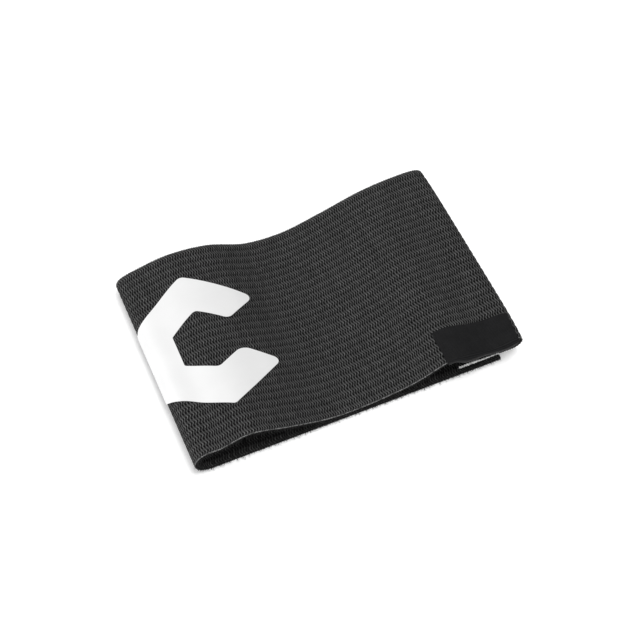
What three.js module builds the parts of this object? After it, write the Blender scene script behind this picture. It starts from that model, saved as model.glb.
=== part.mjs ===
// Captain armband: a strip of ribbed knitted elastic, closed into a loop by hook-and-loop tape and lying
// pressed flat on a surface, with a film letter at its left fold and a woven label over its near edge.
// Millimetres, +Z up. X runs along the flattened loop, label end at +X; Y runs across the band, far edge at +Y.
// The origin is at the middle of the underside.
import * as THREE from 'three';

// Band, as it lies
const BAND_WIDTH = 75;
const BAND_THICKNESS = 1.5;
const FLAT_LENGTH = 114.3; // from the left fold to the right fold
const HUMP_HEIGHT = 10.4; // rise of the higher hump over the lower layer
const FAR_EDGE_SHIFT = -1.55; // the far edge lies this much further left than the near edge
const CLEARANCE = 0.3; // between two pieces that lie on each other
const RIGHT_FOLD_BOW = 0.65; // the right fold bulges this much half way across
const RIGHT_FOLD_REACH = 14; // length along the strip, to either side of the fold, over which it bulges

// Hook-and-loop fastener
const TAPE_LENGTH = 14.0; // along the band
const TAPE_INSET = 1.0; // from each edge of the band
const HOOK_THICKNESS = 1.1;
const LOOP_THICKNESS = 1.1;
const FASTENER_AT = 0.93; // outer side of the fastener, as a share of FLAT_LENGTH
const OUTER_END_AT = 0.943; // outer end of the strip, likewise

// Film letter, a six-sided ring open on its right side
const LETTER_OUTER_RADIUS = 26.2; // centre to a corner
const LETTER_INNER_RADIUS = 11.6;
const LETTER_FROM_FOLD = 21.8; // its centre from the left fold, along the band
const LETTER_OFF_CENTRE = 0.4; // its centre from the band's middle, towards the far edge
const LETTER_CORNER_RADIUS = 2.0; // at the outer corners, half of it at the inner ones
const LETTER_END_RADIUS = 2.5; // at the two outer corners where it is open
const LETTER_END_STRETCH = 0.12; // share of an inner side that lies across from a rounded end corner
const LETTER_THICKNESS = 0.35;

// Woven label, folded over the near edge
const LABEL_LENGTH = 25.7; // along the edge
const LABEL_DROP = 12.0; // on the upper face, from the edge
const LABEL_UNDER = 6; // on the under face, from the edge
const LABEL_FROM_FOLD = 2.9; // from the right fold, along the band
const LABEL_THICKNESS = 0.4;

// Heights of the band's middle surface: on the resting surface, on its own lower layer, on the fastener
const FLOOR = BAND_THICKNESS / 2;
const LAYER = FLOOR + BAND_THICKNESS + CLEARANCE;
const STACK = FLOOR + BAND_THICKNESS + HOOK_THICKNESS + LOOP_THICKNESS + 3 * CLEARANCE;

// Sections of the strip from its inner end to its outer end. along is a share of FLAT_LENGTH from the left fold,
// back a share of TAPE_LENGTH to the left of that, base the height that the section starts from, and near and
// far the lift of the two edges over it, as shares of HUMP_HEIGHT. At a fold, 1 to the right and -1 to the left,
// the strip turns in a half round whose height is the lift.
const SECTIONS = [
  { name: 'inner end', along: FASTENER_AT, back: 1.06, base: STACK, near: 0, far: 0, fold: 0 },
  { name: 'inner end, middle', along: FASTENER_AT, back: 0.5, base: STACK, near: 0, far: 0, fold: 0 },
  { name: 'fastener, outer side', along: FASTENER_AT, back: 0, base: STACK, near: 0, far: 0, fold: 0 },
  { name: 'right fold', along: 1, back: 0, base: STACK, near: 0.49, far: 0.75, fold: 1 },
  { name: 'right hump, outer side', along: 0.9, back: 0, base: STACK, near: 0.39, far: 0.76, fold: 0 },
  { name: 'right hump', along: 0.79, back: 0, base: LAYER, near: 0.9, far: 0.855, fold: 0 },
  { name: 'right hump, inner side', along: 0.66, back: 0, base: LAYER, near: 0.28, far: 0.4, fold: 0 },
  { name: 'valley', along: 0.53, back: 0, base: LAYER, near: 0.025, far: 0.025, fold: 0 },
  { name: 'left hump, foot', along: 0.41, back: 0, base: LAYER, near: 0.04, far: 0.11, fold: 0 },
  { name: 'left hump, inner side', along: 0.28, back: 0, base: LAYER, near: 0.5, far: 0.77, fold: 0 },
  { name: 'left hump', along: 0.16, back: 0, base: LAYER, near: 1, far: 0.93, fold: 0 },
  { name: 'left hump, outer side', along: 0.075, back: 0, base: LAYER, near: 0.75, far: 0.75, fold: 0 },
  { name: 'left fold', along: 0, back: 0, base: FLOOR, near: 0.93, far: 0.77, fold: -1 },
  { name: 'floor, left', along: 0.1, back: 0, base: FLOOR, near: 0, far: 0, fold: 0 },
  { name: 'floor, left middle', along: 0.2, back: 0, base: FLOOR, near: 0, far: 0, fold: 0 },
  { name: 'floor, middle', along: 0.5, back: 0, base: FLOOR, near: 0, far: 0, fold: 0 },
  { name: 'floor, right', along: 0.8, back: 0, base: FLOOR, near: 0, far: 0, fold: 0 },
  { name: 'outer end', along: OUTER_END_AT, back: 0, base: FLOOR, near: 0, far: 0, fold: 0 },
];

// Turns of a fold's half round at which it has a point, from its lower layer to its upper
const FOLD_TURNS = [-0.5, -0.25, 0, 0.22, 0.42].map((share) => share * Math.PI);

// Fineness of the facets
const BAND_STEPS = { station: 7, across: 5 };
const TAPE_STEPS = { along: 2, across: 2 };
const LABEL_STEPS = { along: 24, leg: 3, turn: 6 };
const LETTER_STEPS = { side: 10, corner: 4, across: 11 };
const CURVE_DIVISIONS = 56; // from one station to the next, when lengths along an edge are measured
const SLOPE_REACH = 0.25; // to either side of a point, when the slope of the strip is measured there

// Stations that the edges pass through: a section is one, a fold is five.
const STATIONS = SECTIONS.flatMap((row) => {
  if (row.fold === 0) {
    return [{ ...row, turn: 0 }];
  }
  const turns = row.fold === 1 ? FOLD_TURNS : [...FOLD_TURNS].reverse();
  return turns.map((turn) => ({ ...row, turn }));
});

// Point of one long edge of the strip at a station.
function stationPoint(station, edge, y, shift) {
  const x = station.along * FLAT_LENGTH - station.back * TAPE_LENGTH + shift;
  const lift = station[edge] * HUMP_HEIGHT;
  if (station.fold === 0) {
    return new THREE.Vector3(x, y, station.base + lift);
  }
  const radius = lift / 2;
  const inset = station.fold * radius * (Math.cos(station.turn) - 1);
  return new THREE.Vector3(x + inset, y, station.base + radius * (1 + Math.sin(station.turn)));
}

// One long edge of the strip as a smooth curve through the stations.
function edgeCurve(edge, y, shift) {
  const points = STATIONS.map((station) => stationPoint(station, edge, y, shift));
  const curve = new THREE.CatmullRomCurve3(points, false, 'centripetal');
  curve.arcLengthDivisions = CURVE_DIVISIONS * (STATIONS.length - 1);
  return curve;
}

const nearEdge = edgeCurve('near', -BAND_WIDTH / 2, 0);
const farEdge = edgeCurve('far', BAND_WIDTH / 2, FAR_EDGE_SHIFT);
const STRIP_LENGTH = (nearEdge.getLength() + farEdge.getLength()) / 2;

// Length along the strip, from its inner end, at which a station lies, or a part of the way to the next one.
function stationLength(station) {
  const shares = [nearEdge, farEdge].map(
    (edge) => edge.getLengths()[Math.round(station * CURVE_DIVISIONS)] / edge.getLength(),
  );
  return (STRIP_LENGTH * (shares[0] + shares[1])) / 2;
}

// Length along the strip at which a section lies. At a fold it is the middle of the turn.
function lengthAt(name) {
  return stationLength(STATIONS.findIndex((station) => station.name === name && station.turn === 0));
}

const RIGHT_FOLD_LENGTH = lengthAt('right fold');

// Point of the strip's middle surface, at a length from the inner end and a distance from the near edge. The
// curves swing a little below the lower layer where they leave the left fold, and the surface holds it up there.
function middlePoint(length, across) {
  const share = THREE.MathUtils.clamp(length / STRIP_LENGTH, 0, 1);
  const part = across / BAND_WIDTH;
  const point = nearEdge.getPointAt(share).lerp(farEdge.getPointAt(share), part);
  const away = Math.min(1, Math.abs(length - RIGHT_FOLD_LENGTH) / RIGHT_FOLD_REACH);
  point.x += RIGHT_FOLD_BOW * 4 * part * (1 - part) * (1 - away * away) ** 2;
  point.z = Math.max(point.z, FLOOR);
  return point;
}

// Direction straight out of the strip's outer face.
function outward(length, across) {
  const centre = THREE.MathUtils.clamp(length, SLOPE_REACH, STRIP_LENGTH - SLOPE_REACH);
  const along = middlePoint(centre + SLOPE_REACH, across).sub(middlePoint(centre - SLOPE_REACH, across));
  const over = middlePoint(centre, BAND_WIDTH).sub(middlePoint(centre, 0));
  return over.cross(along).normalize();
}

// Point at a height over the middle surface, positive on the outer face.
function surfacePoint(length, across, height) {
  return middlePoint(length, across).addScaledVector(outward(length, across), height);
}

// Closed wall between two grids of points, pointAt(i, j, 0) on its lower face and pointAt(i, j, 1) on its upper.
function closedWall(columns, rows, pointAt) {
  const positions = [];
  for (const face of [0, 1]) {
    for (let i = 0; i <= columns; i += 1) {
      for (let j = 0; j <= rows; j += 1) {
        positions.push(...pointAt(i, j, face).toArray());
      }
    }
  }
  const vertex = (i, j, face) => (face * (columns + 1) + i) * (rows + 1) + j;
  const indices = [];
  const quad = (a, b, c, d) => indices.push(a, b, c, a, c, d);
  for (let i = 0; i < columns; i += 1) {
    for (let j = 0; j < rows; j += 1) {
      quad(vertex(i, j, 1), vertex(i, j + 1, 1), vertex(i + 1, j + 1, 1), vertex(i + 1, j, 1));
      quad(vertex(i, j, 0), vertex(i + 1, j, 0), vertex(i + 1, j + 1, 0), vertex(i, j + 1, 0));
    }
    quad(vertex(i, 0, 0), vertex(i, 0, 1), vertex(i + 1, 0, 1), vertex(i + 1, 0, 0));
    quad(vertex(i, rows, 0), vertex(i + 1, rows, 0), vertex(i + 1, rows, 1), vertex(i, rows, 1));
  }
  for (let j = 0; j < rows; j += 1) {
    quad(vertex(0, j, 0), vertex(0, j + 1, 0), vertex(0, j + 1, 1), vertex(0, j, 1));
    quad(vertex(columns, j, 0), vertex(columns, j, 1), vertex(columns, j + 1, 1), vertex(columns, j + 1, 0));
  }
  const geometry = new THREE.BufferGeometry();
  geometry.setAttribute('position', new THREE.Float32BufferAttribute(positions, 3));
  geometry.setIndex(indices);
  geometry.computeVertexNormals();
  return geometry;
}

// The strip itself, its whole length and width.
function bandWall() {
  const columns = BAND_STEPS.station * (STATIONS.length - 1);
  const lengths = Array.from({ length: columns + 1 }, (_, i) => stationLength(i / BAND_STEPS.station));
  return closedWall(columns, BAND_STEPS.across, (i, j, face) =>
    surfacePoint(lengths[i], (BAND_WIDTH * j) / BAND_STEPS.across, (face - 0.5) * BAND_THICKNESS),
  );
}

// Tape across the band, on one of its faces: 1 is the outer face, -1 the inner face.
function tapeWall(start, thickness, face) {
  const seat = BAND_THICKNESS / 2 + CLEARANCE;
  const heights = [face * seat, face * (seat + thickness)].sort((a, b) => a - b);
  return closedWall(TAPE_STEPS.along, TAPE_STEPS.across, (i, j, side) =>
    surfacePoint(
      start + (TAPE_LENGTH * i) / TAPE_STEPS.along,
      THREE.MathUtils.lerp(TAPE_INSET, BAND_WIDTH - TAPE_INSET, j / TAPE_STEPS.across),
      heights[side],
    ),
  );
}

// Flat vector at an angle and a distance from the origin.
function polar(angle, distance) {
  return new THREE.Vector2(Math.cos(angle), Math.sin(angle)).multiplyScalar(distance);
}

// Arc that rounds a corner: the corner points along the angle, and the outline turns there by the sweep.
function roundCorner(corner, angle, radius, sweep) {
  const centre = corner.clone().sub(polar(angle, radius / Math.cos(sweep / 2)));
  return Array.from({ length: LETTER_STEPS.corner + 1 }, (_, i) =>
    polar(angle + (i / LETTER_STEPS.corner - 0.5) * sweep, radius).add(centre),
  );
}

// Straight stretch with as many points as an arc.
function straightCorner(from, to) {
  return Array.from({ length: LETTER_STEPS.corner + 1 }, (_, i) => from.clone().lerp(to, i / LETTER_STEPS.corner));
}

// Five sides of a six-sided outline, from its upper right corner round by the left to its lower right one.
// Two outlines have the same number of points, whatever their radii, so they can be joined point by point.
// An end radius rounds the end corners into the cuts towards the centre; without one they stay sharp.
function letterOutline(radius, cornerRadius, endRadius) {
  const sixth = Math.PI / 3;
  const angles = [0.5, 1.5, 2.5, 3.5, 4.5, 5.5].map((share) => share * sixth);
  const corners = angles.map((angle) => polar(angle, radius));
  const last = corners.length - 1;
  const rounded = corners.map((corner, k) => roundCorner(corner, angles[k], cornerRadius, sixth));
  if (endRadius > 0) {
    rounded[0] = roundCorner(corners[0], angles[0] - sixth / 2, endRadius, 2 * sixth);
    rounded[last] = roundCorner(corners[last], angles[last] + sixth / 2, endRadius, 2 * sixth);
  } else {
    rounded[0] = straightCorner(corners[0], corners[0].clone().lerp(corners[1], LETTER_END_STRETCH));
    rounded[last] = straightCorner(corners[last].clone().lerp(corners[last - 1], LETTER_END_STRETCH), corners[last]);
  }
  const outline = [...rounded[0]];
  for (let k = 1; k <= last; k += 1) {
    const from = rounded[k - 1][LETTER_STEPS.corner];
    for (let i = 1; i < LETTER_STEPS.side; i += 1) {
      outline.push(from.clone().lerp(rounded[k][0], i / LETTER_STEPS.side));
    }
    outline.push(...rounded[k]);
  }
  return outline;
}

// The letter's film, drawn flat and laid on the outer face.
function letterWall() {
  const outer = letterOutline(LETTER_OUTER_RADIUS, LETTER_CORNER_RADIUS, LETTER_END_RADIUS);
  const inner = letterOutline(LETTER_INNER_RADIUS, LETTER_CORNER_RADIUS / 2, 0);
  const middle = lengthAt('left fold') - LETTER_FROM_FOLD;
  const seat = BAND_THICKNESS / 2 + CLEARANCE;
  return closedWall(outer.length - 1, LETTER_STEPS.across, (i, j, face) => {
    const drawn = inner[i].clone().lerp(outer[i], j / LETTER_STEPS.across);
    const across = BAND_WIDTH / 2 + LETTER_OFF_CENTRE + drawn.y;
    return surfacePoint(middle - drawn.x, across, seat + face * LETTER_THICKNESS);
  });
}

// The label: a leg on the upper face, a turn round the near edge and a leg on the under face.
function labelWall() {
  const end = lengthAt('right fold') + LABEL_FROM_FOLD;
  const seat = BAND_THICKNESS / 2 + CLEARANCE;
  const rows = 2 * LABEL_STEPS.leg + LABEL_STEPS.turn;
  return closedWall(LABEL_STEPS.along, rows, (i, j, face) => {
    const length = end + (LABEL_LENGTH * i) / LABEL_STEPS.along;
    const height = seat + face * LABEL_THICKNESS;
    if (j < LABEL_STEPS.leg) {
      return surfacePoint(length, LABEL_UNDER * (1 - j / LABEL_STEPS.leg), -height);
    }
    if (j > rows - LABEL_STEPS.leg) {
      return surfacePoint(length, LABEL_DROP * (1 - (rows - j) / LABEL_STEPS.leg), height);
    }
    const turn = Math.PI * ((j - LABEL_STEPS.leg) / LABEL_STEPS.turn);
    const point = surfacePoint(length, 0, -height * Math.cos(turn));
    point.y -= height * Math.sin(turn);
    return point;
  });
}

const bandMaterial = new THREE.MeshStandardMaterial({ color: '#45423f', roughness: 0.95 });
const hookMaterial = new THREE.MeshStandardMaterial({ color: '#1b1b1c', roughness: 0.7 });
const loopMaterial = new THREE.MeshStandardMaterial({ color: '#262627', roughness: 0.95 });
const filmMaterial = new THREE.MeshStandardMaterial({ color: '#f2f1ee', roughness: 0.5 });
const labelMaterial = new THREE.MeshStandardMaterial({ color: '#1e1e1f', roughness: 0.85 });

function piece(name, geometry, material) {
  const mesh = new THREE.Mesh(geometry, material);
  mesh.name = name;
  return mesh;
}

const outerTapeEnd = lengthAt('outer end') - (OUTER_END_AT - FASTENER_AT) * FLAT_LENGTH;
const innerTapeEnd = lengthAt('fastener, outer side');

const armband = new THREE.Group();
armband.name = 'captain_armband';
armband.add(
  piece('band', bandWall(), bandMaterial),
  piece('hook_tape', tapeWall(outerTapeEnd - TAPE_LENGTH, HOOK_THICKNESS, -1), hookMaterial),
  piece('loop_tape', tapeWall(innerTapeEnd - TAPE_LENGTH, LOOP_THICKNESS, 1), loopMaterial),
  piece('letter_c', letterWall(), filmMaterial),
  piece('label', labelWall(), labelMaterial),
);

// The origin goes to the middle of the underside.
const box = new THREE.Box3().setFromObject(armband);
armband.position.set(-(box.min.x + box.max.x) / 2, -(box.min.y + box.max.y) / 2, -box.min.z);
armband.updateMatrixWorld(true);

export default armband;
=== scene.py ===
"""Captain armband: a closed loop of ribbed elastic knit, pressed flat, with a film letter and a woven label.

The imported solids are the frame. Each soft solid gets a finished piece that lies in its place: the band with
its ribs, edge yarns and lint, the letter's film, the folded label and the two fastener tapes. Lengths are in
metres.
"""

import logging
import math
from collections.abc import Callable, Sequence
from dataclasses import dataclass
from enum import Enum

import bmesh
import bpy
import numpy as np
from mathutils import Matrix, Vector


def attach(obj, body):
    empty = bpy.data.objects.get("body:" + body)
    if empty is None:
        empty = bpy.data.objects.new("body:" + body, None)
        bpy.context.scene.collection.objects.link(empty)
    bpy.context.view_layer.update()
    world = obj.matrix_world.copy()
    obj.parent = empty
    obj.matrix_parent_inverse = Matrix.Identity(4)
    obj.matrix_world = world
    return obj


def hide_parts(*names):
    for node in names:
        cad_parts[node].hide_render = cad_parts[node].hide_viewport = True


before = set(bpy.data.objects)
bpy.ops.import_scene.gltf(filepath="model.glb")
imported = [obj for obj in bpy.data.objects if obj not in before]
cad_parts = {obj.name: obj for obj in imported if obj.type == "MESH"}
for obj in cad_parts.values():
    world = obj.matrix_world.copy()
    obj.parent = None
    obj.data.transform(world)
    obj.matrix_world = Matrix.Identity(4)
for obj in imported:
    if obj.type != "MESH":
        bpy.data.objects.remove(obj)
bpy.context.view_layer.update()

LOG = logging.getLogger("armband")
MM = 0.001
UV_NAME = "cloth"

Array = np.ndarray
Colour = tuple[float, float, float, float]
Material = bpy.types.Material
Mesh = bmesh.types.BMesh
Piece = bpy.types.Object
Socket = bpy.types.NodeSocket
Tree = bpy.types.NodeTree
Place = Callable[[Array, Array, Array], tuple[Array, Array]]
Stop = tuple[float, Colour]


class Fold(Enum):
    """Which way the strip turns back on itself at a section."""

    LEFT = -1
    NONE = 0
    RIGHT = 1


class Face(Enum):
    """A face of the strip: the outer one shows, the inner one is against the arm."""

    OUTER = 1
    INNER = -1


class KnitSide(Enum):
    """A side of the cloth, with its material's number. The inner side's material is painted darker, as the
    shade inside the loop.
    """

    OUTER = 0
    INNER = 1
    RIM = 2


@dataclass(frozen=True)
class Section:
    """A place that the strip's two edges pass through.

    along is a share of the flat length from the left fold, back a share of the tape's length to the left of
    that, base the height that it starts from, and near and far the lift of the edges, as shares of the hump.
    """

    name: str
    along: float
    base: float
    near: float = 0.0
    far: float = 0.0
    back: float = 0.0
    fold: Fold = Fold.NONE


@dataclass(frozen=True)
class ClothSizes:
    """Sizes of the strip and of what lies between its layers, as in the frame's source."""

    width: float = 75.0 * MM
    thickness: float = 1.5 * MM
    flat_length: float = 114.3 * MM
    hump: float = 10.4 * MM
    far_shift: float = -1.55 * MM
    clearance: float = 0.3 * MM
    tape_length: float = 14.0 * MM
    tape_inset: float = 1.0 * MM
    tape_thickness: float = 1.1 * MM
    fastener_at: float = 0.93
    outer_end_at: float = 0.943
    fold_bow: float = 0.65 * MM
    fold_reach: float = 14.0 * MM
    origin: tuple[float, float, float] = (-56.34079 * MM, 0.70518 * MM, 0.0)

    @property
    def floor(self) -> float:
        """Height of the middle surface on the resting surface."""
        return self.thickness / 2

    @property
    def layer(self) -> float:
        """Height of the middle surface on the strip's own lower layer."""
        return self.floor + self.thickness + self.clearance

    @property
    def stack(self) -> float:
        """Height of the middle surface on the fastener."""
        return self.floor + self.thickness + 2 * self.tape_thickness + 3 * self.clearance


class EdgeCurve:
    """One long edge of the strip: a centripetal Catmull-Rom curve through its stations."""

    DIVISIONS = 56

    def __init__(self, points: Array) -> None:
        """Prepares the curve and its table of lengths.

        Args:
            points: The stations, one row each.
        """
        first = 2 * points[0] - points[1]
        last = 2 * points[-1] - points[-2]
        self.count = len(points)
        self.points = np.vstack([first, points, last])
        self.stations = np.linspace(0, self.count - 1, self.DIVISIONS * (self.count - 1) + 1)
        steps = np.linalg.norm(np.diff(self.at(self.stations), axis=0), axis=1)
        self.lengths = np.concatenate([[0.0], np.cumsum(steps)])

    def at(self, station: Array) -> Array:
        """Points of the curve.

        Args:
            station: Station numbers, whole at a station and part of the way between two.

        Returns:
            One point a row.
        """
        number = np.clip(np.floor(station).astype(int), 0, self.count - 2)
        share = (station - number)[:, None]
        p0, p1, p2, p3 = (self.points[number + k] for k in range(4))
        d0, d1, d2 = (
            np.sqrt(np.linalg.norm(b - a, axis=1))[:, None] for a, b in ((p0, p1), (p1, p2), (p2, p3))
        )
        leave = ((p1 - p0) / d0 - (p2 - p0) / (d0 + d1) + (p2 - p1) / d1) * d1
        arrive = ((p2 - p1) / d1 - (p3 - p1) / (d1 + d2) + (p3 - p2) / d2) * d1
        square, cube = share**2, share**3
        return (
            (2 * cube - 3 * square + 1) * p1
            + (cube - 2 * square + share) * leave
            + (3 * square - 2 * cube) * p2
            + (cube - square) * arrive
        )

    def at_share(self, share: Array) -> Array:
        """Points at shares of the curve's own length, one a row."""
        return self.at(np.interp(share * self.lengths[-1], self.lengths, self.stations))

    def share_at(self, station: float) -> float:
        """Share of the curve's own length at which a station lies."""
        return float(np.interp(station, self.stations, self.lengths) / self.lengths[-1])


class Strip:
    """The strip's middle surface, from its inner end over the top and back underneath to its outer end."""

    TURNS = np.array([-0.5, -0.25, 0.0, 0.22, 0.42]) * math.pi
    REACH = 0.25 * MM

    def __init__(self, sizes: ClothSizes) -> None:
        """Runs both edges through the sections.

        Args:
            sizes: Sizes of the cloth.
        """
        self.sizes = sizes
        self.stations = [
            (section, turn)
            for section in self.sections()
            for turn in self.turns_of(section)
        ]
        self.near = self.edge("near", -sizes.width / 2, 0.0)
        self.far = self.edge("far", sizes.width / 2, sizes.far_shift)
        self.length = (self.near.lengths[-1] + self.far.lengths[-1]) / 2
        self.right_fold = self.length_at("right fold")

    def sections(self) -> list[Section]:
        """The sections from the inner end to the outer end."""
        floor, layer, stack = self.sizes.floor, self.sizes.layer, self.sizes.stack
        at = self.sizes.fastener_at
        return [
            Section("inner end", at, stack, back=1.06),
            Section("inner end, middle", at, stack, back=0.5),
            Section("fastener, outer side", at, stack),
            Section("right fold", 1.0, stack, 0.49, 0.75, fold=Fold.RIGHT),
            Section("right hump, outer side", 0.9, stack, 0.39, 0.76),
            Section("right hump", 0.79, layer, 0.9, 0.855),
            Section("right hump, inner side", 0.66, layer, 0.28, 0.4),
            Section("valley", 0.53, layer, 0.025, 0.025),
            Section("left hump, foot", 0.41, layer, 0.04, 0.11),
            Section("left hump, inner side", 0.28, layer, 0.5, 0.77),
            Section("left hump", 0.16, layer, 1.0, 0.93),
            Section("left hump, outer side", 0.075, layer, 0.75, 0.75),
            Section("left fold", 0.0, floor, 0.93, 0.77, fold=Fold.LEFT),
            Section("floor, left", 0.1, floor),
            Section("floor, left middle", 0.2, floor),
            Section("floor, middle", 0.5, floor),
            Section("floor, right", 0.8, floor),
            Section("outer end", self.sizes.outer_end_at, floor),
        ]

    def turns_of(self, section: Section) -> list[float]:
        """Turns at which the strip passes a section: five round a fold, otherwise one."""
        if section.fold is Fold.NONE:
            return [0.0]
        return list(self.TURNS if section.fold is Fold.RIGHT else self.TURNS[::-1])

    def edge(self, side: str, across: float, shift: float) -> EdgeCurve:
        """One long edge of the strip.

        Args:
            side: Name of the section's lift for this edge.
            across: The edge's place across the band.
            shift: How far the edge lies along the band from its sections.

        Returns:
            The edge's curve.
        """
        points = []
        for section, turn in self.stations:
            lift = getattr(section, side) * self.sizes.hump
            x = section.along * self.sizes.flat_length - section.back * self.sizes.tape_length + shift
            z = section.base + lift
            if section.fold is not Fold.NONE:
                x += section.fold.value * lift / 2 * (math.cos(turn) - 1)
                z = section.base + lift / 2 * (1 + math.sin(turn))
            points.append((x, across, z))
        return EdgeCurve(np.array(points) + np.array(self.sizes.origin))

    def length_at(self, name: str) -> float:
        """Length from the inner end at which a section lies, at a fold the middle of its turn."""
        number = next(
            k for k, (section, turn) in enumerate(self.stations) if section.name == name and turn == 0.0
        )
        return self.length * (self.near.share_at(number) + self.far.share_at(number)) / 2

    def middle(self, length: Array, across: Array) -> Array:
        """Points of the middle surface.

        Args:
            length: Lengths from the inner end.
            across: Distances from the near edge.

        Returns:
            One point a row.
        """
        share = np.clip(length / self.length, 0.0, 1.0)
        part = across / self.sizes.width
        points = self.near.at_share(share) * (1 - part)[:, None] + self.far.at_share(share) * part[:, None]
        away = np.minimum(np.abs(length - self.right_fold) / self.sizes.fold_reach, 1.0)
        points[:, 0] += self.sizes.fold_bow * (1 - (2 * part - 1) ** 6) * (1 - away**2) ** 2
        points[:, 2] = np.maximum(points[:, 2], self.sizes.floor)
        return points

    def outward(self, length: Array, across: Array) -> Array:
        """Directions straight out of the outer face, one a row."""
        centre = np.clip(length, self.REACH, self.length - self.REACH)
        along = self.middle(centre + self.REACH, across) - self.middle(centre - self.REACH, across)
        over = self.middle(centre, np.full_like(across, self.sizes.width)) - self.middle(centre, 0 * across)
        out = np.cross(over, along)
        return out / np.linalg.norm(out, axis=1)[:, None]

    def surface(self, length: Array, across: Array, height: Array) -> Array:
        """Points at a height over the middle surface, positive on the outer face."""
        return self.middle(length, across) + self.outward(length, across) * height[:, None]


def smooth_step(low: float, high: float, value: Array) -> Array:
    """0 below low, 1 above high, and a smooth rise between them."""
    share = np.clip((value - low) / (high - low), 0.0, 1.0)
    return share * share * (3 - 2 * share)


def closed_wall(columns: int, rows: int, place: Place) -> Mesh:
    """Two grids, one over the other, joined round their sides.

    Args:
        columns: Number of steps one way.
        rows: Number of steps the other way.
        place: From column, row and face number (0 or 1) of every vertex to its points and its flat places.

    Returns:
        The closed wall, with a flat place kept on each vertex.
    """
    mesh = bmesh.new()
    flat = mesh.verts.layers.float_vector.new("flat")
    bmesh.ops.create_grid(mesh, x_segments=columns, y_segments=rows, size=0.5)
    grown = bmesh.ops.extrude_face_region(mesh, geom=mesh.faces[:], use_keep_orig=True)
    upper = {item for item in grown["geom"] if isinstance(item, bmesh.types.BMVert)}
    verts = mesh.verts[:]
    column = np.array([round((vert.co.x + 0.5) * columns) for vert in verts])
    row = np.array([round((vert.co.y + 0.5) * rows) for vert in verts])
    face = np.array([1 if vert in upper else 0 for vert in verts])
    points, flats = place(column, row, face)
    for vert, point, spread in zip(verts, points, flats):
        vert.co = point
        vert[flat] = (spread[0], spread[1], float(vert in upper))
    bmesh.ops.recalc_face_normals(mesh, faces=mesh.faces[:])
    return mesh


def tubes(count: int, segments: int, sides: int) -> tuple[Mesh, Array, Array, Array]:
    """Many closed tubes of one kind, ready to be bent.

    Args:
        count: How many tubes.
        segments: Number of steps along each.
        sides: Number of steps round each.

    Returns:
        The mesh, and for each of its vertices the tube's number, the share of its length and the angle round
        it.
    """
    tube = bmesh.new()
    bmesh.ops.create_grid(tube, x_segments=segments, y_segments=sides, size=0.5)
    for vert in tube.verts:
        angle = (vert.co.y + 0.5) * 2 * math.pi
        vert.co = (vert.co.x + 0.5, math.cos(angle), math.sin(angle))
    bmesh.ops.remove_doubles(tube, verts=tube.verts[:], dist=0.001)
    bmesh.ops.holes_fill(tube, edges=[edge for edge in tube.edges if edge.is_boundary])
    data = bpy.data.meshes.new("tube")
    tube.to_mesh(data)
    places = np.array([vert.co for vert in tube.verts])
    tube.free()
    mesh = bmesh.new()
    for _ in range(count):
        mesh.from_mesh(data)
    bpy.data.meshes.remove(data)
    number = np.repeat(np.arange(count), len(places))
    share = np.tile(places[:, 0], count)
    angle = np.tile(np.arctan2(places[:, 2], places[:, 1]), count)
    return mesh, number, share, angle


def finished(name: str, mesh: Mesh, sharp: float = 50.0) -> Piece:
    """Makes a piece of a bmesh, with its flat places as its UV map.

    Args:
        name: The piece's name.
        mesh: What it is made of. It is freed.
        sharp: Angle in degrees over which an edge stays sharp.

    Returns:
        The piece, linked to the scene.
    """
    data = bpy.data.meshes.new(name)
    mesh.to_mesh(data)
    mesh.free()
    data.shade_smooth()
    data.set_sharp_from_angle(angle=math.radians(sharp))
    if "flat" in data.attributes:
        spread = np.zeros(len(data.vertices) * 3, np.float32)
        data.attributes["flat"].data.foreach_get("vector", spread)
        corner = np.zeros(len(data.loops), np.int32)
        data.loops.foreach_get("vertex_index", corner)
        layer = data.uv_layers.new(name=UV_NAME)
        layer.data.foreach_set("uv", spread.reshape(-1, 3)[corner, :2].ravel())
        data.attributes.remove(data.attributes["flat"])
    piece = bpy.data.objects.new(name, data)
    bpy.context.scene.collection.objects.link(piece)
    LOG.info("%s: %d faces", name, len(data.polygons))
    return piece


def linear(colour: str) -> Colour:
    """Turns an sRGB hex colour such as "#3a3938" to linear red, green, blue and an alpha of 1."""
    parts = [int(colour[k : k + 2], 16) / 255 for k in (1, 3, 5)]
    red, green, blue = (p / 12.92 if p <= 0.04045 else ((p + 0.055) / 1.055) ** 2.4 for p in parts)
    return red, green, blue, 1.0


def add_node(tree: Tree, kind: str, inputs: dict | None = None, **settings: object) -> bpy.types.Node:
    """Adds a node with its settings and links.

    Args:
        tree: The node tree.
        kind: The node's type without its "ShaderNode" prefix.
        inputs: From a socket's name or number to a value, or to a socket that is linked to it.
        settings: Attributes of the node.

    Returns:
        The node.
    """
    node = tree.nodes.new("ShaderNode" + kind)
    for name, value in settings.items():
        setattr(node, name, value)
    for name, value in (inputs or {}).items():
        if isinstance(value, Socket):
            tree.links.new(value, node.inputs[name])
        else:
            node.inputs[name].default_value = value
    return node


def new_material(name: str) -> tuple[Material, Tree]:
    """Makes an empty node material and gives it with its tree."""
    material = bpy.data.materials.new(name)
    material.use_nodes = True
    material.node_tree.nodes.clear()
    return material, material.node_tree


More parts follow.
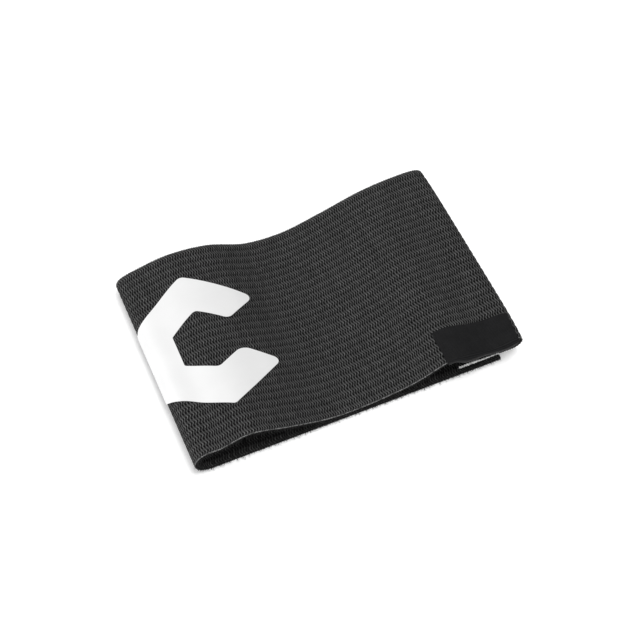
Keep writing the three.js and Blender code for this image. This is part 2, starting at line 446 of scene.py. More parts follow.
def add_ramp(tree: Tree, value: Socket, stops: Sequence[Stop], kind: str = "LINEAR") -> Socket:
    """Adds a colour ramp.

    Args:
        tree: The node tree.
        value: What runs over the ramp.
        stops: Places on the ramp with their colours, from the lowest place to the highest.
        kind: How the ramp goes from one stop to the next.

    Returns:
        The ramp's colour.
    """
    ramp = add_node(tree, "ValToRGB", {"Fac": value})
    ramp.color_ramp.interpolation = kind
    points = ramp.color_ramp.elements
    points[0].position = stops[0][0]
    points[1].position = stops[-1][0]
    for at, _ in stops[1:-1]:
        points.new(at)
    for point, (_, colour) in zip(points, stops):
        point.color = colour
    return ramp.outputs[0]


def add_math(tree: Tree, operation: str, *values: float | Socket) -> Socket:
    """Adds a math node and gives its result."""
    return add_node(tree, "Math", dict(enumerate(values)), operation=operation).outputs[0]


def add_scaled(tree: Tree, vector: object, scale: float | Socket) -> Socket:
    """Adds a node that multiplies a vector by a number, and gives its result."""
    return add_node(tree, "VectorMath", {0: vector, "Scale": scale}, operation="SCALE").outputs[0]


def add_noise(tree: Tree, place: Socket, scale: float, detail: float = 2.0, output: str = "Fac") -> Socket:
    """Adds a noise texture.

    Args:
        tree: The node tree.
        place: Where it is read, in millimetres.
        scale: How many features there are in a millimetre.
        detail: How many finer layers it has.
        output: "Fac" for a value, or "Color" for a vector.

    Returns:
        The noise.
    """
    return add_node(tree, "TexNoise", {"Vector": place, "Scale": scale, "Detail": detail}).outputs[output]


def cloth_place(tree: Tree) -> Socket:
    """Adds the place on the flat cloth, in millimetres."""
    return add_scaled(tree, add_node(tree, "UVMap", uv_map=UV_NAME).outputs[0], 1000.0)


def object_place(tree: Tree) -> Socket:
    """Adds the place in the piece's own space, in millimetres."""
    return add_scaled(tree, add_node(tree, "TexCoord").outputs["Object"], 1000.0)


@dataclass(frozen=True)
class Surface:
    """How a finish takes the light, and how deep the grain in it is."""

    roughness: float
    specular: float = 0.1
    sheen: float = 0.0
    bump: float = 0.6
    depth: float = 0.1 * MM

    def close(self, tree: Tree, colour: Socket, height: Socket) -> None:
        """Ends a node tree with its bump, shader and output.

        Args:
            tree: The node tree.
            colour: The surface's colour.
            height: The grain's height, from 0 to 1.
        """
        bump = add_node(tree, "Bump", {"Strength": self.bump, "Distance": self.depth, "Height": height})
        shader = add_node(
            tree,
            "BsdfPrincipled",
            {
                "Base Color": colour,
                "Roughness": self.roughness,
                "Specular IOR Level": self.specular,
                "Sheen Weight": self.sheen,
                "Sheen Roughness": 0.4,
                "Sheen Tint": linear("#9c9c9c"),
                "Normal": bump.outputs[0],
            },
        )
        add_node(tree, "OutputMaterial", {"Surface": shader.outputs[0]})


@dataclass(frozen=True)
class KnitRow:
    """How the knit looks at one place across a rib.

    at is the place, as a share of the rib from the middle of a valley. shift is how far the stitches have
    moved on from the valley's towards the raised row's, gaps how open the gaps between them are, and light how
    bright the strands are painted. light is highest on the raised row and lower on the slopes and in the
    valley:
    partly the knit's own tone and partly painted shade of the rib's relief.
    """

    at: float
    shift: float
    gaps: float
    light: float


@dataclass(frozen=True)
class RibKnitFinish:
    """Elastic rib knit in textured polyester, marled grey and black.

    The eye gets grey strands with black gaps, two rows to each rib: a raised row of long stitches, and in the
    valley a lower and darker row that lies half a stitch further on, its darkness partly painted shade in the
    valley. Where the strands cross from one row to the other the gaps close up into a lighter line.
    """

    rib: float = 75.0 / 27
    stitch: float = 0.893
    strand: str = "#6e6e6e"
    # The gaps' near-black: partly the black yarn, partly painted shade between the strands
    gap: str = "#020202"
    narrow: float = 4.0
    drift: float = 1.2
    shake: float = 0.2
    own_shade: float = 0.2
    marl: float = 0.2
    rows: tuple[KnitRow, ...] = (
        KnitRow(0.0, 0.0, 1.0, 0.74),
        KnitRow(0.1, 0.1, 0.88, 0.54),
        KnitRow(0.19, 0.5, 0.74, 0.49),
        KnitRow(0.29, 0.9, 0.92, 0.78),
        KnitRow(0.4, 1.0, 1.0, 1.0),
        KnitRow(0.55, 0.9, 0.84, 0.74),
        KnitRow(0.66, 0.5, 0.63, 0.57),
        KnitRow(0.77, 0.1, 0.75, 0.61),
        KnitRow(0.88, 0.0, 0.94, 0.72),
        KnitRow(1.0, 0.0, 1.0, 0.74),
    )
    surface: Surface = Surface(0.92, 0.04, 0.03, 0.6, 0.15 * MM)

    def moved_place(self, tree: Tree, place: Socket) -> Socket:
        """Adds the place as the cloth drifts and the single stitches shake."""
        for scale, amount, share in ((0.13, self.drift, 0.3), (0.8, self.shake, 0.7)):
            noise = add_noise(tree, place, scale, 1.0, "Color")
            centred = add_node(
                tree, "VectorMath", {0: noise, 1: (0.5, 0.5, 0.5)}, operation="SUBTRACT"
            ).outputs[0]
            size = (amount, amount * share, 0.0)
            place = add_node(
                tree, "VectorMath", {0: centred, 1: size, 2: place}, operation="MULTIPLY_ADD"
            ).outputs[0]
        return place

    def build(self, name: str = "marled_rib_knit") -> Material:
        """Makes the material. Its UV map is in metres, along and across the band."""
        material, tree = new_material(name)
        place = cloth_place(tree)
        moved = self.moved_place(tree, place)
        split = add_node(tree, "SeparateXYZ", {0: moved})
        ribs = add_math(tree, "DIVIDE", split.outputs[1], self.rib)
        part = add_math(tree, "FRACT", ribs)
        # The third channel paints the strands lighter on the raised row and darker on the slopes and in the
        # valley, partly as painted shade
        stops = [(row.at, (row.shift, row.gaps, row.light, 1.0)) for row in self.rows]
        row = add_node(tree, "SeparateColor", {0: add_ramp(tree, part, stops, "EASE")})
        shift, gaps, light = row.outputs[0], row.outputs[1], row.outputs[2]
        # The strands lean to and fro between the rows
        sway = add_math(tree, "SINE", add_math(tree, "MULTIPLY", part, 4 * math.pi))
        count = add_math(tree, "DIVIDE", split.outputs[0], self.stitch)
        phase = add_math(tree, "MULTIPLY_ADD", shift, 0.5, add_math(tree, "MULTIPLY_ADD", sway, -0.05, count))
        # A strand is painted light in its middle and darker to its sides, as light and shade on a round yarn;
        # the near-black in the gap to the next one is partly the black yarn and partly painted shade
        crest = add_math(tree, "COSINE", add_math(tree, "MULTIPLY", phase, 2 * math.pi))
        strand = add_math(tree, "POWER", add_math(tree, "MULTIPLY_ADD", crest, -0.5, 0.5), self.narrow)
        dark = add_math(tree, "MULTIPLY", add_math(tree, "SUBTRACT", 1.0, strand), gaps)
        # Each strand has its own shade, and its fibres are marled
        row_number = add_math(tree, "ADD", add_math(tree, "FLOOR", ribs), add_math(tree, "ROUND", shift))
        cell = add_node(tree, "CombineXYZ", {0: add_math(tree, "FLOOR", phase), 1: row_number}).outputs[0]
        own = add_node(tree, "TexWhiteNoise", {"Vector": cell}, noise_dimensions="2D").outputs["Value"]
        shade = add_math(tree, "MULTIPLY_ADD", own, 2 * self.own_shade, 1 - self.own_shade)
        along = add_node(tree, "VectorMath", {0: moved, 1: (7.0, 1.8, 1.0)}, operation="MULTIPLY").outputs[0]
        mixed = add_math(tree, "ADD", add_noise(tree, along, 1.0, 3.0), add_noise(tree, place, 0.45, 3.0))
        marl = add_math(tree, "MULTIPLY_ADD", mixed, 2.5 * self.marl, 1 - 2.5 * self.marl)
        lit = add_math(tree, "MULTIPLY", add_math(tree, "MULTIPLY", shade, marl), light)
        colour = add_node(tree, "Mix", {0: dark, 7: linear(self.gap)}, data_type="RGBA")
        tree.links.new(add_scaled(tree, linear(self.strand)[:3], lit), colour.inputs[6])
        self.surface.close(tree, colour.outputs[2], add_math(tree, "SUBTRACT", 1.0, dark))
        return material


@dataclass(frozen=True)
class RimFinish:
    """Side of the cloth, where the black ground yarns show between the layers of the knit.

    The eye gets a fuzzy near-black with a few grey fibres.
    """

    low: str = "#050505"
    high: str = "#3a3939"
    surface: Surface = Surface(0.95, 0.05, 0.0, 0.8, 0.15 * MM)

    def build(self, name: str = "knit_rim") -> Material:
        """Makes the material. It reads Object coordinates."""
        material, tree = new_material(name)
        noise = add_noise(tree, object_place(tree), 2.2, 3.0)
        colour = add_ramp(tree, noise, ((0.45, linear(self.low)), (0.72, linear(self.high))))
        self.surface.close(tree, colour, noise)
        return material


@dataclass(frozen=True)
class EdgeYarnFinish:
    """Textured polyester yarn that closes the edge of a narrow fabric.

    The eye gets a thin line that is lighter than the cloth, broken by the turns of the yarn.
    """

    light: str = "#878787"
    dark: str = "#383838"
    surface: Surface = Surface(0.85, 0.1, 0.1, 0.5, 0.08 * MM)

    def build(self, name: str = "edge_yarn") -> Material:
        """Makes the material. Its UV map is in metres, along and round the yarn."""
        material, tree = new_material(name)
        place = cloth_place(tree)
        colour = add_ramp(
            tree, add_noise(tree, place, 1.6), ((0.35, linear(self.dark)), (0.62, linear(self.light)))
        )
        self.surface.close(tree, colour, add_noise(tree, place, 6.0))
        return material


@dataclass(frozen=True)
class FilmFinish:
    """White polyurethane heat-transfer film, pressed on with a hot plate.

    The eye gets an even, clean white with a low satin gloss and the faintest grain from the press.
    """

    low: str = "#e9e9e9"
    high: str = "#ececec"
    surface: Surface = Surface(0.42, 0.5, 0.0, 0.15, 0.05 * MM)

    def build(self, name: str = "heat_transfer_film") -> Material:
        """Makes the material. Its UV map is in metres."""
        material, tree = new_material(name)
        place = cloth_place(tree)
        colour = add_ramp(
            tree, add_noise(tree, place, 0.12), ((0.3, linear(self.low)), (0.7, linear(self.high)))
        )
        self.surface.close(tree, colour, add_noise(tree, place, 2.2, 3.0))
        return material


@dataclass(frozen=True)
class DamaskFinish:
    """Black polyester damask, the close satin weave of a sewn-in label.

    The eye gets a smoother and darker cloth than the knit, with fine threads and a soft satin light on them.
    The threads are 0.22 mm apart, as coarse as they come, so that the render can show them.
    """

    thread: float = 0.22
    warp: str = "#262627"
    weft: str = "#0d0d0e"
    surface: Surface = Surface(0.6, 0.08, 0.02, 0.4, 0.06 * MM)

    def build(self, name: str = "damask_label") -> Material:
        """Makes the material. Its UV map is in metres."""
        material, tree = new_material(name)
        place = cloth_place(tree)
        warp, weft = (
            add_node(
                tree,
                "TexWave",
                {"Vector": place, "Scale": pace / self.thread, "Distortion": 0.7, "Detail": 1.0},
                wave_type="BANDS",
                bands_direction=way,
            ).outputs["Fac"]
            for pace, way in ((0.32, "X"), (0.16, "Y"))
        )
        woven = add_math(tree, "MULTIPLY", warp, weft)
        cloud, slub = add_noise(tree, place, 0.35, 3.0), add_noise(tree, place, 1.6, 3.0)
        mottle = add_math(tree, "MULTIPLY", cloud, slub)
        tone = add_math(tree, "MULTIPLY_ADD", mottle, 0.7, woven)
        colour = add_ramp(tree, tone, ((0.1, linear(self.weft)), (0.8, linear(self.warp))))
        self.surface.close(tree, colour, woven)
        return material


@dataclass(frozen=True)
class FibreFinish:
    """Black nylon or polyester fibre: a hook tape, the brushed loops that it grips, or loose lint.

    The eye gets a dull, speckled black that is a little greyer where fibres stand up.
    """

    low: str
    high: str
    roughness: float
    grain: float

    def build(self, name: str) -> Material:
        """Makes the material. It reads Object coordinates."""
        material, tree = new_material(name)
        noise = add_noise(tree, object_place(tree), self.grain, 4.0)
        colour = add_ramp(tree, noise, ((0.35, linear(self.low)), (0.7, linear(self.high))))
        Surface(self.roughness, 0.1, 0.08).close(tree, colour, noise)
        return material


@dataclass(frozen=True)
class YarnRun:
    """Where a yarn lies on the strip: from start to end along it, at one place across it and one height."""

    start: float
    end: float
    across: float
    height: float
    radius: float
    turn: float = 0.85 * MM
    lean: float = 0.08 * MM
    uneven: float = 0.0
    seed: int = 3


@dataclass
class Band:
    """The strip of rib knit with its ribs and edge yarns."""

    strip: Strip
    ribs: int = 27
    crest: float = 0.0
    valley: float = 0.14 * MM
    edge_round: float = 0.6 * MM
    step: float = 1.5 * MM
    yarn_sides: int = 8
    rib_shares: tuple[float, ...] = (0.0, 0.09, 0.19, 0.31, 0.5, 0.69, 0.81, 0.91)

    def relief(self, across: Array) -> Array:
        """Height of the ribs over the cloth's plain face, with a valley between every two."""
        pitch = self.strip.sizes.width / self.ribs
        from_valley = 0.5 - np.abs((across / pitch) % 1.0 - 0.5)
        return self.crest - self.valley * np.exp(-((from_valley * pitch / (0.42 * MM)) ** 2))

    def rows(self) -> Array:
        """Places across the band at which the mesh has a row: eight a rib, and more at the edges."""
        width = self.strip.sizes.width
        pitch = width / self.ribs
        shares = np.array([rib + share for rib in range(self.ribs) for share in self.rib_shares])
        inner = shares * pitch
        inner = inner[(inner > self.edge_round) & (inner < width - self.edge_round)]
        rim = np.array([0.0, 0.06, 0.2, 0.45]) * self.edge_round / 0.6
        return np.concatenate([rim, inner, width - rim[::-1]])

    def build(self) -> Piece:
        """Builds the strip as one closed wall with its ribs on both faces."""
        rows = self.rows()
        sizes = self.strip.sizes
        columns = round(self.strip.length / self.step)

        def place(column: Array, row: Array, face: Array) -> tuple[Array, Array]:
            """Vertex places for the wall, with round rims along both edges."""
            length = self.strip.length * column / columns
            across = rows[row]
            rim = np.clip(np.minimum(across, sizes.width - across) / self.edge_round, 0.0, 1.0)
            full = 0.22 + 0.78 * np.sqrt(1 - (1 - rim) ** 2)
            height = (sizes.thickness / 2 + self.relief(across)) * full
            return (
                self.strip.surface(length, across, np.where(face == 1, height, -height)),
                np.column_stack([length, across]),
            )

        wall = closed_wall(columns, len(rows) - 1, place)
        flat = wall.verts.layers.float_vector["flat"]
        for part in wall.faces:
            sides = [vert[flat].z for vert in part.verts]
            at_rim = min(min(vert[flat].y, sizes.width - vert[flat].y) for vert in part.verts) < 0.05 * MM
            between = min(sides) < 0.5 < max(sides)
            side = KnitSide.OUTER if min(sides) > 0.5 else KnitSide.INNER
            part.material_index = (KnitSide.RIM if at_rim or between else side).value
        return finished("rib_knit_band", wall)

    def build_yarn(self, name: str, run: YarnRun) -> Piece:
        """Builds a yarn that lies along an edge.

        Args:
            name: The piece's name.
            run: Where the yarn lies and how thick it is.

        Returns:
            The yarn.
        """
        long = run.end - run.start
        turns = round(long / run.turn)
        steps = turns * 4
        random = np.random.default_rng(run.seed)
        own = 1 + run.uneven * random.uniform(-1, 1, steps + 1)
        mesh = bmesh.new()
        flat = mesh.verts.layers.float_vector.new("flat")
        bmesh.ops.create_grid(mesh, x_segments=steps, y_segments=self.yarn_sides, size=0.5)
        verts = mesh.verts[:]
        share = np.array([vert.co.x + 0.5 for vert in verts])
        angle = np.array([vert.co.y + 0.5 for vert in verts]) * 2 * math.pi
        twist = share * turns * 2 * math.pi
        radius = run.radius * (1 + 0.16 * np.cos(twist)) * own[np.round(share * steps).astype(int)]
        across = run.across + run.lean * np.sin(twist) + radius * np.cos(angle)
        height = run.height + radius * np.sin(angle)
        length = run.start + share * long
        points = self.strip.surface(length, across, height)
        for vert, point, along, round_it in zip(verts, points, length, angle):
            vert.co = point
            vert[flat] = (along, round_it * run.radius, 0.0)
        bmesh.ops.remove_doubles(mesh, verts=verts, dist=0.002 * MM)
        bmesh.ops.holes_fill(mesh, edges=[edge for edge in mesh.edges if edge.is_boundary])
        bmesh.ops.recalc_face_normals(mesh, faces=mesh.faces[:])
        return finished(name, mesh, 180.0)


@dataclass
class EdgeLint:
    """Loose fibres that stand out of the cut and worn edges of the cloth."""

    strip: Strip
    count: int = 3000
    radius: float = 0.04 * MM
    reach: tuple[float, float] = (0.3 * MM, 0.9 * MM)

    def build(self, name: str, side: int) -> Piece:
        """Builds the fibres of one edge as thin bent tubes, twice as long on the near edge.

        Args:
            name: The piece's name.
            side: -1 for the near edge, 1 for the far edge.

        Returns:
            The fibres.
        """
        sizes = self.strip.sizes
        random = np.random.default_rng(21 + side)
        mesh, own, bend, ring = tubes(self.count, 2, 3)

        def spread(low: float, high: float) -> Array:
            """A value of its own for each fibre, given at every vertex."""
            return random.uniform(low, high, self.count)[own]

        long = spread(*self.reach) * spread(0.5, 1.0) * (2 if side < 0 else 1)
        swing, lift, curl = spread(-1.3, 1.3), spread(-0.9, 0.9), spread(-0.6, 0.6)
        thick = self.radius * (1 - 0.6 * bend)
        out = bend * long * np.cos(swing) - 0.15 * MM
        # Most of them stand on the outer end, which is peeled and pressed down again and again
        length = spread(0.0, 1.0) ** 0.6 * self.strip.length + bend * long * np.sin(swing)
        length = length + thick * np.cos(ring)
        height = spread(-0.5, 0.5) * sizes.thickness * 0.9 + (bend * lift + bend**2 * curl) * long
        edge = 0.0 if side < 0 else sizes.width
        points = self.strip.surface(length, edge + side * out, height + thick * np.sin(ring))
        points[:, 2] = np.maximum(points[:, 2], 0.01 * MM)
        for vert, point in zip(mesh.verts, points):
            vert.co = point
        bmesh.ops.recalc_face_normals(mesh, faces=mesh.faces[:])
        return finished(name, mesh, 180.0)


@dataclass
class FilmLetter:
    """The captain's letter: a six-sided ring of film, open on its right side.

    The corners' radii are in millimetres, from the upper end round by the left to the lower one.
    """

    strip: Strip
    outer: float = 26.2 * MM
    inner: float = 11.6 * MM
    from_fold: float = 21.8 * MM
    off_centre: float = 0.7 * MM
    end_pull: float = 0.8 * MM
    outer_corners: tuple[float, ...] = (1.9, 2.4, 3.0, 2.0, 1.3, 1.8)
    inner_corners: tuple[float, ...] = (1.0, 1.8, 0.5, 0.7, 2.0, 1.7)
    seat: float = 0.1 * MM
    thickness: float = 0.14 * MM
    mesh_step: float = 1.0 * MM

    def outline(self) -> Mesh:
        """The letter drawn flat: one face whose corners are rounded."""
        mesh = bmesh.new()
        angles = [math.radians(30 + 60 * k) for k in range(6)]
        ring = [(self.outer, angle) for angle in angles] + [(self.inner, angle) for angle in angles[::-1]]
        corners = [mesh.verts.new((r * math.cos(a), r * math.sin(a), 0.0)) for r, a in ring]
        mesh.faces.new(corners)
        radii = self.outer_corners + self.inner_corners[::-1]
        for number, (vert, radius) in enumerate(zip(corners, radii)):
            turn = math.radians(120 if number in (0, 5, 6, 11) else 60)
            bmesh.ops.bevel(
                mesh,
                geom=[vert],
                offset=radius * MM * math.tan(turn / 2),
                offset_type="OFFSET",
                segments=8,
                profile=0.5,
                affect="VERTICES",
                material=-1,
            )
        return mesh

    def build(self) -> Piece:
        """Lays the letter's film on the outer face."""
        mesh = self.outline()
        flat = mesh.verts.layers.float_vector.new("flat")
        reach = math.ceil(self.outer / self.mesh_step)
        for axis in (Vector((1, 0, 0)), Vector((0, 1, 0))):
            for k in range(-reach, reach + 1):
                geometry = mesh.verts[:] + mesh.edges[:] + mesh.faces[:]
                bmesh.ops.bisect_plane(
                    mesh, geom=geometry, dist=1e-7, plane_co=axis * (k * self.mesh_step), plane_no=axis
                )
        grown = bmesh.ops.extrude_face_region(mesh, geom=mesh.faces[:], use_keep_orig=True)
        upper = {item for item in grown["geom"] if isinstance(item, bmesh.types.BMVert)}
        verts = mesh.verts[:]
        drawn = np.array([vert.co for vert in verts])
        right = self.outer * math.cos(math.pi / 6)
        drawn[:, 0] -= self.end_pull * np.maximum(drawn[:, 0] / right, 0.0) ** 2
        middle = self.strip.length_at("left fold") - self.from_fold
        seat = self.strip.sizes.thickness / 2 + self.seat
        height = np.array([seat + (self.thickness if vert in upper else 0.0) for vert in verts])
        length = middle - drawn[:, 0]
        across = self.strip.sizes.width / 2 + self.off_centre + drawn[:, 1]
        points = self.strip.surface(length, across, height)
        for vert, point, along, over in zip(verts, points, length, across):
            vert.co = point
            vert[flat] = (along, over, 0.0)
        bmesh.ops.recalc_face_normals(mesh, faces=mesh.faces[:])
        return finished("letter_film", mesh, 40.0)


@dataclass
class FoldedLabel:
    """The woven label: a leg on the outer face, a turn round the near edge and a leg on the inner face."""

    strip: Strip
    length: float = 25.7 * MM
    drop: float = 12.0 * MM
    drop_at_fold: float = 9.7 * MM
    under: float = 6.0 * MM
    from_fold: float = 2.9 * MM
    hang: float = 2.1 * MM
    seat: float = 0.1 * MM
    thickness: float = 0.28 * MM
    steps: tuple[int, int, int, int] = (60, 8, 8, 20)

    def build(self) -> Piece:
        """Builds the label as one closed wall."""
        columns, under_rows, turn_rows, upper_rows = self.steps
        rows = under_rows + turn_rows + upper_rows
        start = self.strip.length_at("right fold") + self.from_fold
        seat = self.strip.sizes.thickness / 2 + self.seat

        def place(column: Array, row: Array, face: Array) -> tuple[Array, Array]:
            """Vertex places along the leg, the turn and the leg."""
            share = column / columns
            length = start + self.length * share
            drop = self.drop_at_fold + (self.drop - self.drop_at_fold) * share**0.8
            drop = drop + 0.12 * MM * np.sin(share * 9.0)
            turn = np.clip((row - under_rows) / turn_rows, 0.0, 1.0) * math.pi
            below = np.clip((under_rows - row) / under_rows, 0.0, 1.0)
            above = np.clip((row - under_rows - turn_rows) / upper_rows, 0.0, 1.0)
            lift = above**2 * 0.1 * MM * (1 + np.sin(share * 17.0 + 1.0))
            height = seat + lift + face * self.thickness
            across = below * self.under + above * drop
            loose = smooth_step(1.0, 0.72, share) * (0.75 + 0.25 * np.sin(share * 11.0))
            under = np.maximum(np.cos(turn), 0.0) * (1 - below) + below * (1 - below) * 2
            points = self.strip.surface(length, across, -height * np.cos(turn) - self.hang * loose * under)
            reach = 0.12 * MM + face * self.thickness + (0.3 * MM + 0.5 * self.hang) * loose
            points[:, 1] -= reach * np.sin(turn)
            flats = np.column_stack([length, above * drop - below * self.under + turn * seat])
            return points, flats

        return finished("folded_label", closed_wall(columns, rows, place), 60.0)


@dataclass
class FastenerTape:
    """A tape across the band on one of its faces: a woven ground with hooks or loops on it."""

    strip: Strip
    name: str
    face: Face
    end: float
    ground: float = 0.45 * MM
    pitch: tuple[float, float] = (1.15 * MM, 1.5 * MM)

    def build_ground(self) -> Piece:
        """Builds the woven ground as a thin wall that lies on the band."""
        sizes = self.strip.sizes
        seat = sizes.thickness / 2 + 0.1 * MM

        def place(column: Array, row: Array, face: Array) -> tuple[Array, Array]:
            """Vertex places over the tape's length and the band's width."""
            length = self.end - sizes.tape_length * (1 - column / 12)
            across = sizes.tape_inset + (sizes.width - 2 * sizes.tape_inset) * row / 60
            height = self.face.value * (seat + face * self.ground)
            return self.strip.surface(length, across, height), np.column_stack([length, across])

        return finished(f"{self.name}_ground", closed_wall(12, 60, place))

    def build_pile(self) -> Piece:
        """Builds the hooks or loops: small bent arches in staggered rows."""
        sizes = self.strip.sizes
        foot = sizes.thickness / 2 + 0.1 * MM + self.ground
        rise = sizes.tape_thickness + sizes.clearance - 0.1 * MM - self.ground
        random = np.random.default_rng(7 if self.face is Face.OUTER else 11)
        columns = int((sizes.tape_length - 1.2 * MM) / self.pitch[0]) + 1
        rows = int((sizes.width - 2 * sizes.tape_inset - 1.0 * MM) / self.pitch[1]) + 1
        mesh, own, bend, ring = tubes(columns * rows, 5, 4)
        column, row = own // rows, own % rows
        lean = random.uniform(-0.5, 0.5, columns * rows)[own]
        tall = rise * random.uniform(0.8, 0.97, columns * rows)[own]
        thick, reach = 0.09 * MM, 0.3 * MM
        x = -np.cos(bend * math.pi) * (reach + thick * np.cos(ring))
        y = thick * np.sin(ring)
        z = np.sin(bend * math.pi) * (tall - thick + thick * np.cos(ring))
        length = self.end - sizes.tape_length + 0.6 * MM + self.pitch[0] * column
        length = length + x * np.cos(lean) - y * np.sin(lean)
        across = sizes.tape_inset + 0.5 * MM + self.pitch[1] * (row + 0.5 * (column % 2))
        across = across + x * np.sin(lean) + y * np.cos(lean)
        height = self.face.value * (foot - 0.02 * MM + np.maximum(z, 0))
        for vert, point in zip(mesh.verts, self.strip.surface(length, across, height)):
            vert.co = point
        bmesh.ops.recalc_face_normals(mesh, faces=mesh.faces[:])
        return finished(f"{self.name}_pile", mesh, 180.0)


@dataclass
class Studio:
    """White floor, soft light from all round and a camera at the photograph's angle."""

    azimuth: float = -22.905
    elevation: float = 58.1413
    distance: float = 434.19 * MM
    target: tuple[float, float, float] = (1.788 * MM, 1.181 * MM, 0.0)
    lens: float = 71.42
    floor_size: float = 6.0

    def build_camera(self) -> None:
        """Puts the camera on its line of sight, level."""
        turn, rise = math.radians(self.azimuth), math.radians(self.elevation)
        back = Vector((math.sin(turn) * math.cos(rise), -math.cos(turn) * math.cos(rise), math.sin(rise)))
        right = Vector((math.cos(turn), math.sin(turn), 0.0))
        up = back.cross(right)
        data = bpy.data.cameras.new("camera")
        data.lens = self.lens
        data.sensor_width = 36.0
        data.clip_start = 0.01
        camera = bpy.data.objects.new("camera", data)
        camera.matrix_world = Matrix.Translation(Vector(self.target) + back * self.distance) @ Matrix(
            (right, up, back)
        ).transposed().to_4x4()
        bpy.context.scene.collection.objects.link(camera)
        bpy.context.scene.camera = camera

    def build_floor(self) -> None:
        """Lays the white floor just under the armband."""
        mesh = bmesh.new()
        bmesh.ops.create_grid(mesh, x_segments=1, y_segments=1, size=self.floor_size / 2)
        bmesh.ops.translate(mesh, verts=mesh.verts[:], vec=(0.0, 0.0, -0.02 * MM))
        floor = finished("floor", mesh)
        material, tree = new_material("white_floor")
        surface = add_node(
            tree,
            "BsdfPrincipled",
            {
                "Base Color": (0.94, 0.94, 0.94, 1.0),
                "Roughness": 0.9,
                "Specular IOR Level": 0.1,
                "Emission Color": (1.0, 1.0, 1.0, 1.0),
                "Emission Strength": 0.27,
            },
        )
        add_node(tree, "OutputMaterial", {"Surface": surface.outputs[0]})
        floor.data.materials.append(material)

    def receivers(self, name: str, state: str) -> bpy.types.Collection:
        """A group that lets a light fall on the floor alone (INCLUDE) or on all but the floor (EXCLUDE)."""
        group = bpy.data.collections.new(name)
        group.objects.link(bpy.data.objects["floor"])
        group.collection_objects[0].light_linking.link_state = state
        return group

    def add_softbox(
        self, name: str, place: Vector, size: float, power: float, on: bpy.types.Collection
    ) -> None:
        """Hangs a square softbox that faces the armband.

        Args:
            name: The light's name.
            place: Where it hangs.
            size: Length of its side.
            power: Its power in watts.
            on: The group that says what it lights.
        """
        data = bpy.data.lights.new(name, "AREA")
        data.shape = "SQUARE"
        data.size = size
        data.energy = power
        light = bpy.data.objects.new(name, data)
        light.location = place
        light.rotation_mode = "QUATERNION"
        light.rotation_quaternion = (-place).to_track_quat("-Z", "Y")
        light.light_linking.receiver_collection = on
        bpy.context.scene.collection.objects.link(light)

    def build_light(self) -> None:
        """Surrounds the armband with white, and hangs softboxes: one for the floor, two for the armband."""
        scene = bpy.context.scene
        scene.view_settings.view_transform = "Standard"
        scene.view_settings.look = "None"
        world = bpy.data.worlds.new("white_room")
        world.use_nodes = True
        world.node_tree.nodes.clear()
        room = add_node(world.node_tree, "Background", {"Color": (1.0, 1.0, 1.0, 1.0), "Strength": 0.6})
        add_node(world.node_tree, "OutputWorld", {"Surface": room.outputs[0]})
        scene.world = world
        floor, armband = self.receivers("floor_only", "INCLUDE"), self.receivers("all_but_floor", "EXCLUDE")
        over, left = Vector((0.12, -0.15, 1.1)), Vector((-0.95, 0.3, 0.7))
        self.add_softbox("floor_softbox", over, 0.45, 6.4, floor)
        self.add_softbox("top_softbox", over, 0.45, 3.8, armband)
        self.add_softbox("left_softbox", left, 0.6, 5.1, armband)


def dress(piece: Piece, material: Material) -> None:
    """Gives a piece its material and its slot, and makes it ride with the armband."""
    piece.data.materials.append(material)
    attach(piece, "root")


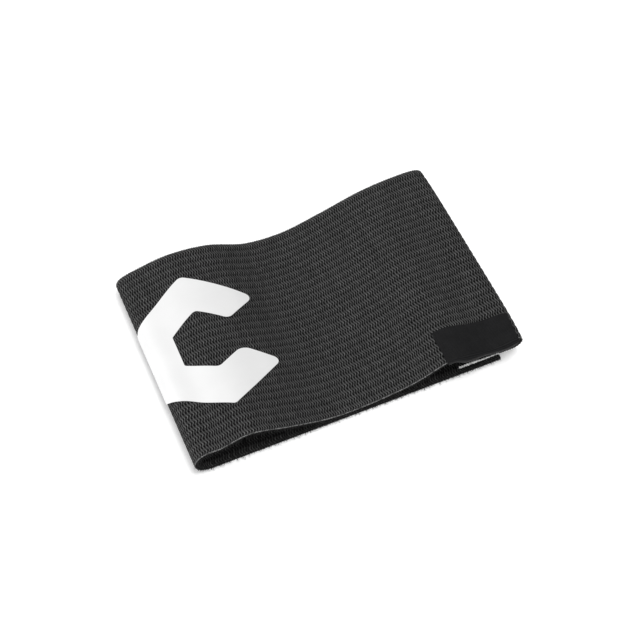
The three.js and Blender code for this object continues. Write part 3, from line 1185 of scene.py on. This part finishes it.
def build_band(strip: Strip) -> None:
    """Builds and dresses the band with its edge yarns."""
    band = Band(strip)
    sizes = strip.sizes
    cloth = band.build()
    dress(cloth, RibKnitFinish().build())
    # The inner face is painted darker than the outer one, as painted shade for the inside of the loop, with a
    # stronger mottle
    inside_painted_shade = RibKnitFinish(strand="#565656", gap="#161616", own_shade=0.5, marl=0.6)
    cloth.data.materials.append(inside_painted_shade.build("rib_knit_inside_painted_shade"))
    cloth.data.materials.append(RimFinish().build())
    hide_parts("band")
    rim = sizes.thickness / 2 - 0.22 * MM
    near = YarnRun(0.0, strip.length, 0.16 * MM, rim, 0.17 * MM)
    far = YarnRun(0.0, strip.length, sizes.width - 0.16 * MM, rim, 0.17 * MM)
    end = sizes.tape_length * 1.06
    frayed = YarnRun(0.2 * MM, end, -0.2 * MM, -0.3 * MM, 0.24 * MM, 0.9 * MM, 0.12 * MM, 0.5)
    stray = YarnRun(0.2 * MM, end * 0.5, -0.1 * MM, -0.75 * MM, 0.12 * MM, 0.9 * MM, 0.12 * MM, 0.6, 5)
    yarn = EdgeYarnFinish().build()
    white = EdgeYarnFinish("#ffffff", "#b6b6b4").build("white_sewing_thread")
    for name, run, finish in (
        ("near_edge_yarn", near, yarn),
        ("far_edge_yarn", far, yarn),
        ("frayed_edge_thread", frayed, white),
        ("stray_edge_thread", stray, white),
    ):
        edge = band.build_yarn(name, run)
        dress(edge, finish)
    lint = EdgeLint(strip)
    fibre = FibreFinish("#1c1c1c", "#4a4a4a", 0.95, 2.0).build("loose_polyester_fibre")
    for name, side in (("near_edge_lint", -1), ("far_edge_lint", 1)):
        fibres = lint.build(name, side)
        dress(fibres, fibre)


def build_letter(strip: Strip) -> None:
    """Builds and dresses the letter."""
    letter = FilmLetter(strip)
    film = letter.build()
    dress(film, FilmFinish().build())
    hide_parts("letter_c")


def build_label(strip: Strip) -> None:
    """Builds and dresses the label."""
    label = FoldedLabel(strip)
    cloth = label.build()
    dress(cloth, DamaskFinish().build())
    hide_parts("label")


def build_fastener(strip: Strip) -> None:
    """Builds and dresses the hook tape and the loop tape."""
    sizes = strip.sizes
    outer = strip.length_at("outer end") - (sizes.outer_end_at - sizes.fastener_at) * sizes.flat_length
    inner = strip.length_at("fastener, outer side")
    hook = FastenerTape(strip, "hook_tape_sewn", Face.INNER, outer)
    loop = FastenerTape(strip, "loop_tape_sewn", Face.OUTER, inner)
    hook_finish = FibreFinish("#141415", "#2c2c2e", 0.6, 1.5).build("hook_nylon")
    loop_finish = FibreFinish("#161616", "#343433", 0.95, 2.5).build("brushed_loop_nylon")
    for tape, finish, slot, node in (
        (hook, hook_finish, "hook_tape", "hook_tape"),
        (loop, loop_finish, "loop_tape", "loop_tape"),
    ):
        ground, pile = tape.build_ground(), tape.build_pile()
        dress(ground, finish)
        dress(pile, finish)
        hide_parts(node)


def main() -> None:
    """Builds the studio and the armband."""
    logging.basicConfig(level=logging.INFO, format="%(name)s: %(message)s")
    studio = Studio()
    studio.build_camera()
    studio.build_floor()
    studio.build_light()
    strip = Strip(ClothSizes())
    LOG.info("strip: %.1f mm long", strip.length / MM)
    build_band(strip)
    build_letter(strip)
    build_label(strip)
    build_fastener(strip)
    bpy.context.view_layer.update()


if __name__ == "__main__":
    main()
